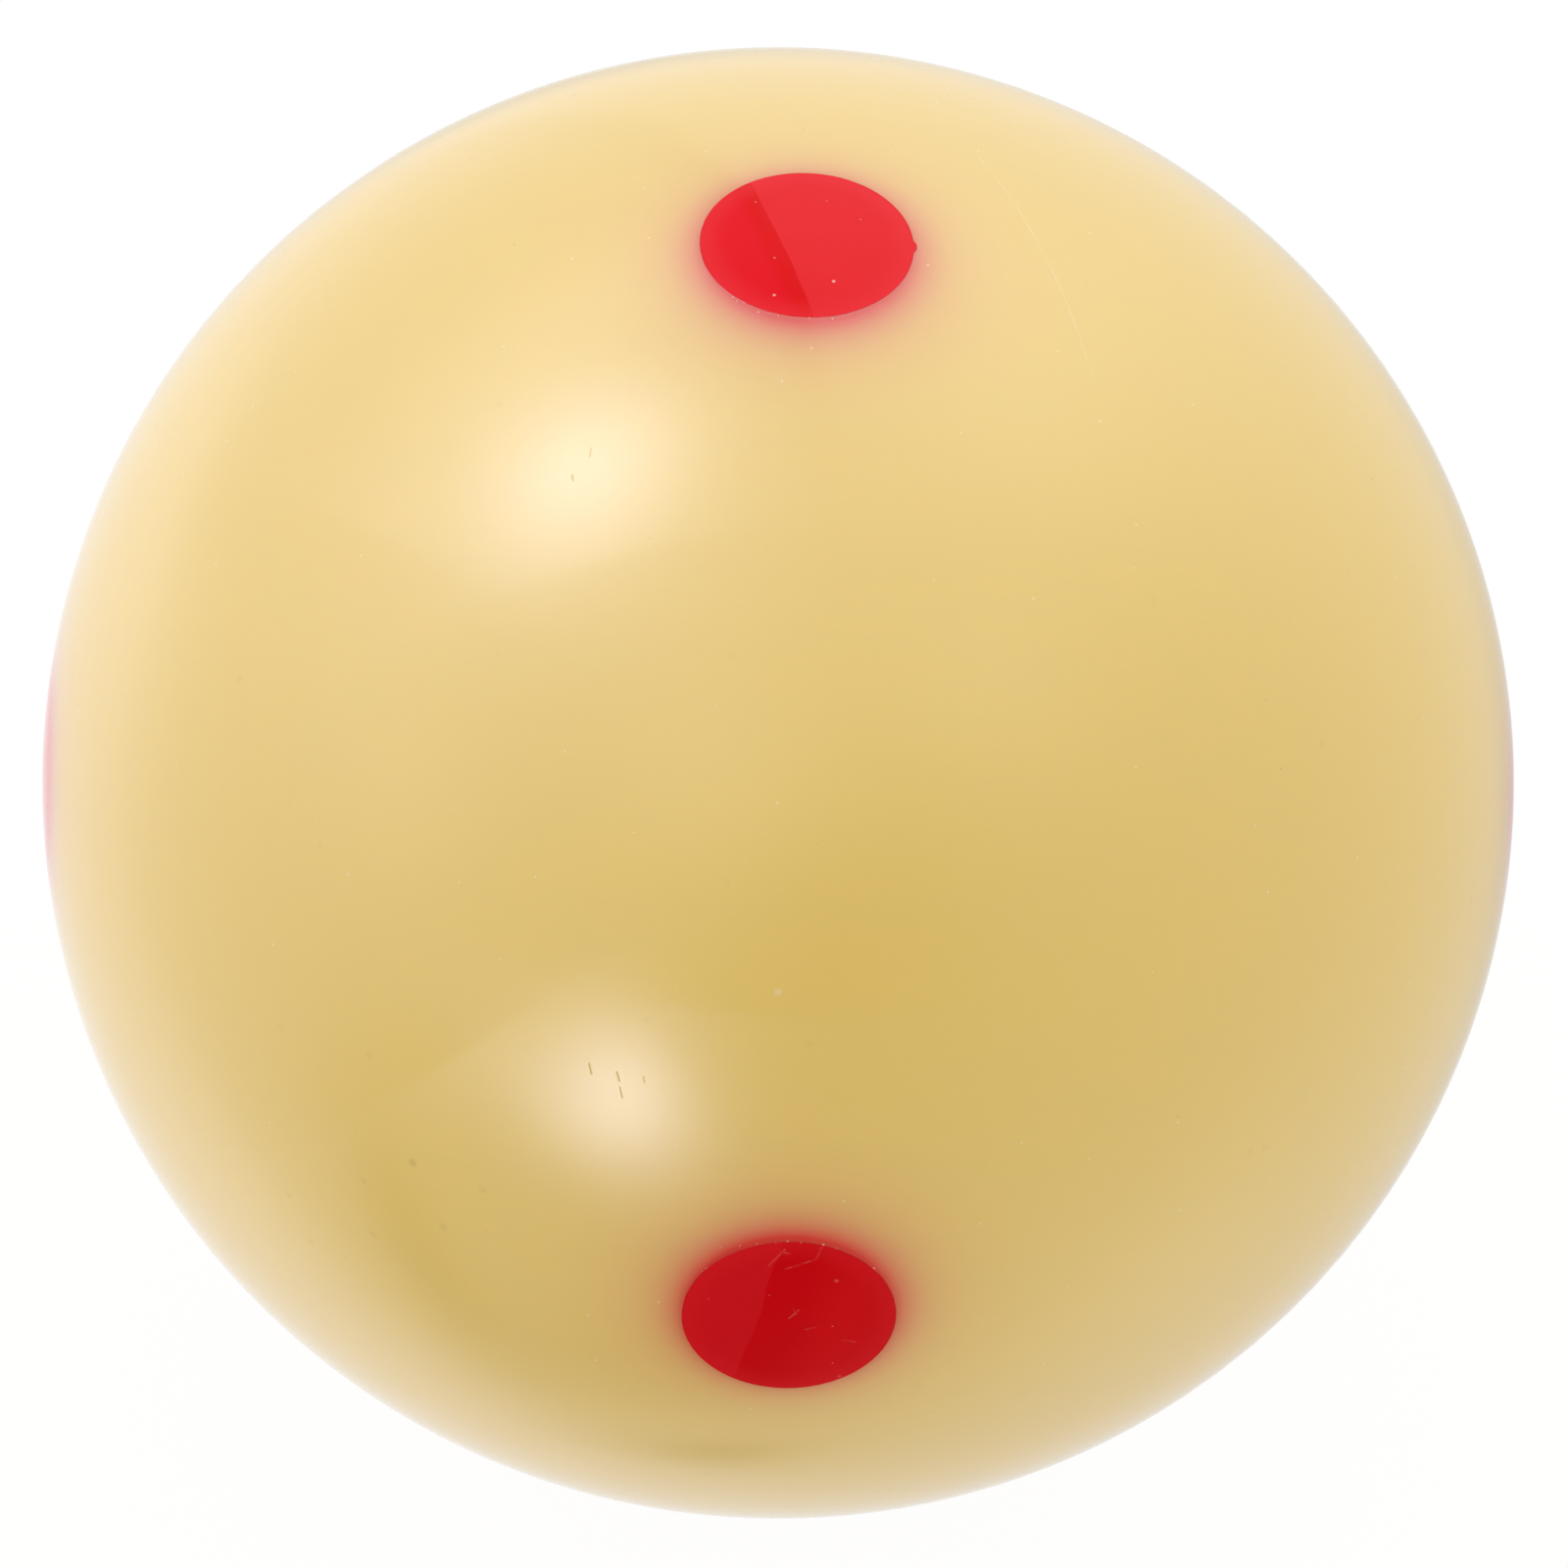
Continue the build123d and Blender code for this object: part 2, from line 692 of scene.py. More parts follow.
# Pale specks on the ivory, with the painted rim glints among them
BODY_SPECKS_AND_GLINTS = (
    *PAINTED_RIM_GLINTS,
    Mark(43.5, 27, 0.13, 1.0),
    Mark(31, 12.5, 0.12, 1.0),
    Mark(-2, 29, 0.5, 0.35),
)
# Air bubbles under the surface, soft and dark
BUBBLES = (
    Mark(-30, 8, 0.55, 1.0),
    Mark(-24, 8, 0.5, 0.45),
    Mark(-27, 3, 0.5, 0.5),
    Mark(-34, 4, 0.45, 0.5),
    Mark(-33, -1, 0.5, 0.45),
    Mark(-39, -6, 0.5, 0.5),
    Mark(-41, -2, 0.45, 0.4),
    Mark(-62, 34, 0.5, 0.4),
    Mark(39, 6, 0.5, 0.3),
)
# Tiny open pits, then fine nicks: four on the front, two up on the left. The ivory also
# darkens them in its colour, as painted shade in the hollows
PITS = (
    Mark(-35, 8, 0.14, 1.0),
    Mark(-25, 61, 0.1, 0.7),
    Mark(31, 13, 0.16, 0.9),
    Mark(27, 20, 0.1, 0.6),
    Mark(54, -1, 0.12, 0.9),
    Mark(52, 45, 0.1, 0.6),
    Mark(21, 8, 0.1, 0.5),
    Scuff((-16.9, 21.4), (-16.6, 20.6), 0.09, 0.75),
    Scuff((-14.6, 21.2), (-14.3, 20.5), 0.08, 0.85),
    Scuff((-14.2, 20.0), (-13.9, 19.2), 0.07, 0.7),
    Scuff((-12.4, 21.2), (-12.3, 20.8), 0.09, 0.5),
    Scuff((-42.3, 65.3), (-41.5, 64.7), 0.08, 0.55),
    Scuff((-41.9, 62.8), (-41.2, 62.5), 0.11, 0.8),
)
TOP_SPECKS = (
    Mark(23.6, 85.2, 0.19, 1.0),
    Mark(-23.4, 83.6, 0.17, 0.9),
    Mark(-50.6, 86.8, 0.13, 0.55),
    Mark(-139, 84.2, 0.13, 0.35),
    Mark(161, 85.2, 0.12, 0.3),
    Mark(122, 85.2, 0.12, 0.3),
)
FRONT_SPECKS = (
    Mark(3.4, 4.2, 0.26, 0.25),
    Mark(3.3, -0.6, 0.12, 0.45),
    Mark(3.5, -4.9, 0.12, 0.45),
    Mark(-6.1, 1.9, 0.12, 0.25),
    Mark(4.1, -6.6, 0.3, 0.15),
)
FRONT_SCUFFS = (
    Scuff((-0.6, 7.3), (-1.7, 5.7), 0.16, 0.2),
    Scuff((-0.9, 7.1), (-0.2, 6.9), 0.14, 0.2),
    Scuff((2.2, 7.6), (1.8, 6.4), 0.15, 0.14),
    Scuff((1.8, 6.4), (-0.5, 5.4), 0.14, 0.16),
    Scuff((0.7, 1.2), (0.0, 0.3), 0.11, 0.2),
    Scuff((0.3, 1.3), (0.5, 0.7), 0.1, 0.14),
    Scuff((1.3, -0.9), (2.0, -0.7), 0.12, 0.22),
    Scuff((4.0, -2.2), (5.1, -2.5), 0.1, 0.18),
)


def new_material(name: str) -> bpy.types.Material:
    """Starts a material with no nodes.

    Args:
        name: the material's name.

    Returns:
        The material.
    """
    material = bpy.data.materials.new(name)
    material.use_nodes = True
    material.node_tree.nodes.clear()
    return material


def add_shader(tree: NodeTree, inputs: dict[str | int, object], **settings: object) -> None:
    """Gives a material its one shader.

    Args:
        tree: the material's node tree.
        inputs: what goes into the shader's sockets.
        settings: the shader's own properties.
    """
    shader = add_node(tree, "BsdfPrincipled", inputs, **settings)
    add_node(tree, "OutputMaterial", {"Surface": shader})


@dataclass(frozen=True)
class Bleed:
    """Red that a plug's wall sends into the clear resin round it, strongest at the rim."""

    share: float  # how much of the ivory it hides at the rim
    fade: float  # how far out it takes to fade
    lean: float  # how far it leans forward and up
    colour: str

    def shade(self, surface: Surface) -> Node:
        """Adds the nodes that draw the bleed.

        Args:
            surface: where it is drawn.

        Returns:
            How red the resin is, from 0 to 1.
        """
        tree = surface.tree
        lean = heading(0, 45) * self.lean
        leant = add_node(tree, "VectorMath", {0: surface.place, 1: lean}, operation="SUBTRACT")
        past = surface.past_rim(leant)
        scaled = add_node(tree, "Math", {0: past, 1: -1 / self.fade}, operation="MULTIPLY")
        power = add_node(tree, "Math", {0: scaled}, operation="EXPONENT")
        return add_node(
            tree, "Math", {0: power, 1: self.share}, operation="MULTIPLY", use_clamp=True
        )


@dataclass(frozen=True)
class IvoryResin:
    """Cast translucent resin, tinted old ivory, ground to a sphere and polished.

    It gives the eye a waxy, slightly cloudy depth under a clear gloss, a red bleed where a
    plug's wall shows through, a few drowned bubbles and the odd speck, pit and hairline.
    Its colour darkens the pits as painted shade and carries painted glints along the rims.
    """

    ball_radius: float
    dot_radius: float
    name: str = "cast_ivory_resin_polished"
    colour: str = "e7c66f"
    cloud_colour: str = "e1c374"
    # the bubbles' colour, also used for the painted shade in the pits
    bubble_and_pit_shade_colour: str = "a8873f"
    # the pale colour of the dust, specks, scratch and painted rim glints
    dust_and_glint_colour: str = "efe3c4"
    roughness: float = 0.07
    ior: float = 1.5
    clearness: float = 0.3  # the share of light that scatters inside the resin
    depth: float = 1.5  # how far light spreads inside the resin
    bleeds: tuple[Bleed, ...] = (
        Bleed(share=0.49, fade=1.6, lean=1.0, colour="c00057"),
        Bleed(share=0.84, fade=0.58, lean=0.55, colour="dc3018"),
    )
    cloud_size: float = 9.0
    flow_length: float = 26.0
    flow_width: float = 1.3
    flow_turn: tuple[float, float, float] = (20, 35, -10)  # of the flow lines, in degrees
    dust: Scatter = Scatter(spacing=1.3, width=0.14, share=0.6, strength=0.42)
    bubbles: Scatter = Scatter(spacing=3.2, width=0.5, share=0.5, strength=0.35, softness=1.0)
    pits: Scatter = Scatter(spacing=2.4, width=0.12, share=0.55)
    darkness: float = 0.32  # how dark the bubbles are, and the painted shade in the pits
    pit_depth: float = 0.012
    hairline: Hairline = Hairline(112.4, -29.9, opening=102.1, back=0.29, front=-0.2)

    def build(self) -> bpy.types.Material:
        """Makes the material.

        Returns:
            The material.
        """
        material = new_material(self.name)
        tree = material.node_tree
        surface = Surface.begin(tree, self.ball_radius, self.dot_radius)
        clouds = add_node(
            tree,
            "TexNoise",
            {
                "Vector": surface.place,
                "Scale": 1 / self.cloud_size,
                "Detail": 3.0,
                "Roughness": 0.55,
            },
        )
        long_way = 1 / self.flow_length
        short_way = 1 / self.flow_width
        stretched = add_node(
            tree,
            "Mapping",
            {
                "Vector": surface.place,
                "Rotation": [math.radians(turn) for turn in self.flow_turn],
                "Scale": (long_way, short_way, short_way),
            },
        )
        flow = add_node(
            tree,
            "TexNoise",
            {"Vector": stretched, "Scale": 1.0, "Detail": 2.0, "Distortion": 0.3},
        )
        milky = add_node(tree, "Math", {0: clouds, 1: flow}, operation="MULTIPLY")
        pits = drawn(surface, self.pits, *PITS)
        # the pits and nicks are darkened with the bubbles: painted shade in the hollows
        dark = drawn(surface, self.bubbles, *BUBBLES, pits)
        bubble_and_pit_shade = add_node(tree, "Math", {0: dark, 1: self.darkness}, operation="MULTIPLY")
        scratch = self.hairline.shade(surface)
        # pale marks: dust, specks and the scratch, with the painted rim glints among the specks
        pale = drawn(surface, self.dust, *BODY_SPECKS_AND_GLINTS, scratch)
        layers = [(milky, self.cloud_colour), (bubble_and_pit_shade, self.bubble_and_pit_shade_colour)]
        layers += [(bleed.shade(surface), bleed.colour) for bleed in self.bleeds]
        layers += [(pale, self.dust_and_glint_colour)]
        colour = linear(self.colour)
        for share, over in layers:
            colour = add_node(
                tree, "Mix", {0: share, 6: colour, 7: linear(over)}, data_type="RGBA"
            )
        bump = add_node(
            tree,
            "Bump",
            {"Height": drawn(surface, pits, scratch), "Distance": self.pit_depth * MM},
            invert=True,
        )
        haze = add_node(
            tree,
            "MapRange",
            {"Value": clouds, "To Min": self.roughness * 0.8, "To Max": self.roughness * 1.2},
        )
        add_shader(
            tree,
            {
                "Base Color": colour,
                "Roughness": haze,
                "Normal": bump,
                "IOR": self.ior,
                "Subsurface Weight": self.clearness,
                "Subsurface Radius": (1.0, 0.7, 0.4),
                "Subsurface Scale": self.depth * MM,
            },
            subsurface_method="RANDOM_WALK",
        )
        return material


@dataclass(frozen=True)
class PaintedReflectionBand:
    """Painted reflection across a plug: a fine darker band, with a lighter side beyond its
    crisp edge, for the edge of a bright patch of the studio mirrored in the polish.
    """

    azimuth: float  # of the direction square to the band
    elevation: float
    place: float  # how far along that direction its crisp side lies
    width: float  # from its crisp side to where it has faded out
    wave: float = 0.25  # how far it wanders
    bend: float = 2.5  # how far along the band a bend in it runs
    blur: float = 0.04  # half of the blur along its crisp side

    def shade(self, surface: Surface) -> tuple[Node, Node]:
        """Adds the nodes that draw the painted reflection band.

        Args:
            surface: where it is drawn.

        Returns:
            1 on the painted reflection's lighter side and 0 on the other, and the band's strength.
        """
        tree = surface.tree
        place = surface.place
        square = heading(self.azimuth, self.elevation)
        straight = add_node(tree, "VectorMath", {0: place, 1: square}, operation="DOT_PRODUCT")
        wander = add_node(
            tree, "TexNoise", {"Vector": place, "Scale": 1 / self.bend, "Detail": 1.0}
        )
        across = add_node(
            tree, "Math", {0: wander, 1: self.wave, 2: straight}, operation="MULTIPLY_ADD"
        )
        reflection_lit_side, rise = (
            add_node(
                tree,
                "MapRange",
                {"Value": across, "From Min": self.place + low, "From Max": self.place + high},
                interpolation_type="SMOOTHSTEP",
            )
            for low, high in ((-self.blur, self.blur), (-self.width, -self.width * 0.3))
        )
        reflection_dim_side = add_node(tree, "Math", {0: 1.0, 1: reflection_lit_side}, operation="SUBTRACT")
        reflection_band = add_node(tree, "Math", {0: rise, 1: reflection_dim_side}, operation="MULTIPLY")
        return reflection_lit_side, reflection_band


@dataclass(frozen=True)
class RedResin:
    """Cast red resin, opaque with pigment, ground flush and polished with the ball.

    It gives the eye a dense, even red with a weak gloss, because the soft pigment paste
    polishes less brightly than the ivory round it, and a few dust specks and scuffs. Its
    colour also carries a painted reflection, a lighter side beyond a fine dark band, and
    painted glints along the rim.
    """

    ball_radius: float
    dot_radius: float
    name: str
    colour: str
    reflection_lit_colour: str  # the lighter side of the painted reflection
    # the painted reflection's dark band, whose colour the pigment's mottling also takes
    mottle_and_reflection_band_colour: str
    rim_colour: str  # where the pale resin round it lights it from the side
    # the painted reflection across the plug
    painted_reflection: PaintedReflectionBand
    # pale specks, with the painted rim glints among them
    specks: tuple[Mark, ...]
    scuffs: tuple[Scuff, ...] = ()
    # the colour of the dust, specks, scuffs and painted rim glints
    dust_and_glint_colour: str = "f6d3c4"
    roughness: float = 0.07
    ior: float = 1.5
    specular: float = 0.035
    paste_size: float = 1.6  # the pigment's faint mottling
    paste_share: float = 0.25  # how much of the band's colour the mottling has
    rim_width: float = 1.1
    rim_share: float = 0.5  # how much of the rim's colour its edge has
    flake_size: float = 0.35  # how finely the scuffs are broken up
    dust: Scatter = Scatter(spacing=1.0, width=0.1, share=0.3, strength=0.3)
    pit_depth: float = 0.01

    def build(self) -> bpy.types.Material:
        """Makes the material.

        Returns:
            The material.
        """
        material = new_material(self.name)
        tree = material.node_tree
        surface = Surface.begin(tree, self.ball_radius, self.dot_radius)
        place = surface.place
        paste = add_node(
            tree, "TexNoise", {"Vector": place, "Scale": 1 / self.paste_size, "Detail": 4.0}
        )
        # painted reflection: its lighter side and its dark band
        reflection_lit_side, reflection_band = self.painted_reflection.shade(surface)
        patchy = add_node(
            tree, "MapRange", {"Value": paste, "To Min": 0.0, "To Max": self.paste_share}
        )
        lit = add_node(
            tree,
            "MapRange",
            {
                "Value": surface.past_rim(place),
                "From Min": -self.rim_width,
                "From Max": 0.0,
                "To Max": self.rim_share,
            },
            interpolation_type="SMOOTHSTEP",
        )
        # pale marks: dust and specks, with the painted rim glints among the specks
        pale = drawn(surface, *self.specks, self.dust)
        if self.scuffs:
            flakes = add_node(
                tree, "TexNoise", {"Vector": place, "Scale": 1 / self.flake_size, "Detail": 2.0}
            )
            flaked = add_node(
                tree,
                "MapRange",
                {"Value": flakes, "From Min": 0.4, "From Max": 0.65, "To Min": 0.15},
            )
            worn = drawn(surface, *self.scuffs)
            worn = add_node(tree, "Math", {0: worn, 1: flaked}, operation="MULTIPLY")
            pale = drawn(surface, pale, worn)
        colour = linear(self.colour)
        for share, over in (
            (reflection_lit_side, self.reflection_lit_colour),
            (drawn(surface, reflection_band, patchy), self.mottle_and_reflection_band_colour),
            (lit, self.rim_colour),
            (pale, self.dust_and_glint_colour),
        ):
            colour = add_node(
                tree, "Mix", {0: share, 6: colour, 7: linear(over)}, data_type="RGBA"
            )
        bump = add_node(
            tree, "Bump", {"Height": pale, "Distance": self.pit_depth * MM}, invert=True
        )
        haze = add_node(
            tree,
            "MapRange",
            {"Value": paste, "To Min": self.roughness * 0.8, "To Max": self.roughness * 1.2},
        )
        add_shader(
            tree,
            {
                "Base Color": colour,
                "Roughness": haze,
                "Normal": bump,
                "IOR": self.ior,
                "Specular IOR Level": self.specular,
            },
        )
        return material


@dataclass(frozen=True)
class FilledCoreResin:
    """Resin packed with mineral powder, left as cast: dull, dense and grey-buff."""

    name: str = "mineral_filled_core_resin_as_cast"
    colour: str = "c4b48f"
    grain_colour: str = "9c8c6c"
    roughness: float = 0.75
    ior: float = 1.5
    grain: float = 0.6  # the powder's clumps
    grain_depth: float = 0.1

    def build(self) -> bpy.types.Material:
        """Makes the material.

        Returns:
            The material.
        """
        material = new_material(self.name)
        tree = material.node_tree
        place = add_node(tree, "TexCoord").outputs["Object"]
        clumps = add_node(
            tree, "TexNoise", {"Vector": place, "Scale": 1 / (self.grain * MM), "Detail": 3.0}
        )
        colour = add_node(
            tree,
            "Mix",
            {0: clumps, 6: linear(self.colour), 7: linear(self.grain_colour)},
            data_type="RGBA",
        )
        bump = add_node(
            tree,
            "Bump",
            {"Height": clumps, "Strength": 0.4, "Distance": self.grain_depth * MM},
        )
        add_shader(
            tree,
            {
                "Base Color": colour,
                "Normal": bump,
                "Roughness": self.roughness,
                "IOR": self.ior,
            },
        )
        return material


class GlowKind(Enum):
    """What a patch of the studio does to the light that the polish mirrors."""

    LIGHT = "adds light"
    SHADE = "takes away a share of what is there"


@dataclass(frozen=True)
class Glow:
    """One soft patch of the studio that the polish mirrors."""

    strength: float
    azimuth: float
    elevation: float
    width: float  # half-width in degrees, across
    height: float  # half-width in degrees, up
    roll: float = 0.0
    falloff: float = 2.0  # how fast its tail dies away
    kind: GlowKind = GlowKind.LIGHT

    def shade(self, tree: NodeTree, toward: bpy.types.NodeSocket) -> Node:
        """Adds the nodes that give the patch's brightness in a direction.

        Args:
            tree: the world's node tree.
            toward: the direction.

        Returns:
            The brightness.
        """
        width = math.radians(self.width)
        height = math.radians(self.height)
        local = add_node(
            tree,
            "Mapping",
            {
                "Vector": toward,
                "Location": heading(self.azimuth, self.elevation),
                "Rotation": facing(self.azimuth, self.elevation, self.roll).to_euler("XYZ"),
                "Scale": (width, height, math.sqrt(width * height)),
            },
            vector_type="TEXTURE",
        )
        spread = add_node(tree, "VectorMath", {0: local, 1: local}, operation="DOT_PRODUCT")
        away = add_node(tree, "Math", {0: spread, 1: 1.0}, operation="ADD")
        tail = add_node(tree, "Math", {0: away, 1: -self.falloff}, operation="POWER")
        return add_node(tree, "Math", {0: tail, 1: self.strength}, operation="MULTIPLY")


@dataclass(frozen=True)
class PanelGap:
    """The dark gap beside a ceiling panel, with the panel's crisp edge."""

    azimuth: float = 98.5  # the direction square to the edge
    elevation: float = -7.9
    gap: float = 0.1  # the gap's width, as a sine
    lift: float = 0.35  # how much brighter the panel is than the far side of the gap
    dip: float = 0.3  # how much darker the gap is
    window: Glow = Glow(1.0, 176, 48, 38, 38)  # fades the gap out along its length

    def shade(self, tree: NodeTree, toward: bpy.types.NodeSocket) -> Node:
        """Adds the nodes that give the change in brightness in a direction.

        Args:
            tree: the world's node tree.
            toward: the direction.

        Returns:
            The brightness to add, below 0 in the gap.
        """
        square = heading(self.azimuth, self.elevation)
        side = add_node(tree, "VectorMath", {0: toward, 1: square}, operation="DOT_PRODUCT")
        panel, beyond = (
            add_node(
                tree,
                "MapRange",
                {"Value": side, "From Min": start, "From Max": end, "To Min": low, "To Max": high},
                interpolation_type="SMOOTHSTEP",
            )
            for start, end, low, high in (
                (-CRISP, CRISP, -self.dip, self.lift),
                (-self.gap * 0.5, -self.gap * 1.2, 0.0, self.dip),
            )
        )
        both = add_node(tree, "Math", {0: panel, 1: beyond}, operation="ADD")
        window = self.window.shade(tree, toward)
        return add_node(tree, "Math", {0: both, 1: window}, operation="MULTIPLY")


@dataclass(frozen=True)
class BoxEdge:
    """A straight side of a soft box, crisper than the box's own glow."""

    azimuth: float  # of the direction square to the side, into the box
    elevation: float
    place: float  # how far along that direction the side lies, as a sine
    step: float  # how much brighter it is just inside than just outside
    reach: float  # how far from the side the difference has gone, as a sine
    window: Glow  # fades the side out along its length

    def shade(self, tree: NodeTree, toward: bpy.types.NodeSocket) -> Node:
        """Adds the nodes that give the change in brightness in a direction.

        Args:
            tree: the world's node tree.
            toward: the direction.

        Returns:
            The brightness to add, below 0 just outside the box.
        """
        square = heading(self.azimuth, self.elevation)
        along = add_node(tree, "VectorMath", {0: toward, 1: square}, operation="DOT_PRODUCT")
        side = add_node(tree, "Math", {0: along, 1: self.place}, operation="SUBTRACT")
        half = self.step / 2
        sharp = add_node(
            tree,
            "MapRange",
            {"Value": side, "From Min": -CRISP, "From Max": CRISP, "To Min": -half, "To Max": half},
            interpolation_type="SMOOTHSTEP",
        )
        apart = add_node(tree, "Math", {0: side}, operation="ABSOLUTE")
        fade = add_node(
            tree,
            "MapRange",
            {"Value": apart, "From Min": self.reach, "From Max": 0.0},
            interpolation_type="SMOOTHSTEP",
        )
        faded = add_node(tree, "Math", {0: sharp, 1: fade}, operation="MULTIPLY")
        window = self.window.shade(tree, toward)
        return add_node(tree, "Math", {0: faded, 1: window}, operation="MULTIPLY")


ROOM = (
    # the walls and the ceiling
    Glow(2.2, 130, 56, 31, 31, falloff=1),
    Glow(1.2, -126, -10, 22, 22, falloff=1),
    Glow(2.0, -150, 45, 45, 15, roll=-9, falloff=0.8),
    Glow(0.45, -100, -49, 30, 30, falloff=3),
    # the dark camera side
    Glow(0.99, 6, 22, 31, 31, falloff=1.5, kind=GlowKind.SHADE),
    # a dark stand at the left, low down, and the dark slot that the ball stands over
    Glow(0.79, -58, -45, 31, 10, roll=90, kind=GlowKind.SHADE),
    Glow(-0.37, 153, -39, 24, 24),
    # paler and darker places between them, where below 0 is darker
    Glow(-0.7, -15, -21, 30, 30),
    Glow(1.1, -17, 44, 30, 30),
    Glow(0.34, -83, -75, 30, 30),
    Glow(-0.26, -177, -30, 11, 11),
    Glow(-0.7, -25, -60, 24, 24),
    Glow(0.52, 66, -47, 30, 30),
    Glow(-0.37, -128, -1, 16, 16),
    Glow(0.77, 51, 50, 24, 24),
    Glow(0.73, -68, 19, 26, 26),
    # a small dark leaf low down at the front
    Glow(0.6, -17, -84, 13, 9, roll=32, falloff=4, kind=GlowKind.SHADE),
)
SOFT_BOXES = (
    # the upper one: its spread and its bright middle
    Glow(2.7, -95, 57, 37, 45, roll=-22, falloff=2.5),
    Glow(5.6, -107, 60, 33, 31, roll=-39, falloff=6),
    # the lower one: its bright middle and its spread
    Glow(6.8, -22, -7, 21, 26, roll=17, falloff=5),
    Glow(1.9, -30, -13, 34, 23, roll=-34, falloff=6),
)
BOX_EDGES = (
    # the two lower sides of the upper box, then the two upper sides of the lower one
    BoxEdge(142, 34.5, -0.013, 0.49, 0.25, Glow(1.0, -102, 31, 25, 25)),
    BoxEdge(-177, 5.3, -0.008, 0.57, 0.25, Glow(1.0, -74, 62, 25, 25)),
    BoxEdge(54, -36.5, -0.025, 0.71, 0.21, Glow(1.0, -44, -9, 25, 25)),
    BoxEdge(-6, -81, 0.01, 0.4, 0.24, Glow(1.0, -15, 9, 25, 25)),
)


def mirrored(
    tree: NodeTree, toward: bpy.types.NodeSocket, glows: tuple[Glow, ...], start: Node
) -> Node:
    """Adds the nodes that join several patches of the studio.

    Args:
        tree: the world's node tree.
        toward: the direction.
        glows: the patches, in order.
        start: the brightness before them.

    Returns:
        The brightness, never below 0.
    """
    total = start
    for glow in glows:
        patch = glow.shade(tree, toward)
        if glow.kind is GlowKind.SHADE:
            patch = add_node(tree, "Math", {0: 1.0, 1: patch}, operation="SUBTRACT")
        joined = "ADD" if glow.kind is GlowKind.LIGHT else "MULTIPLY"
        total = add_node(tree, "Math", {0: total, 1: patch}, operation=joined)
    return add_node(tree, "Math", {0: total, 1: 0.0}, operation="MAXIMUM")


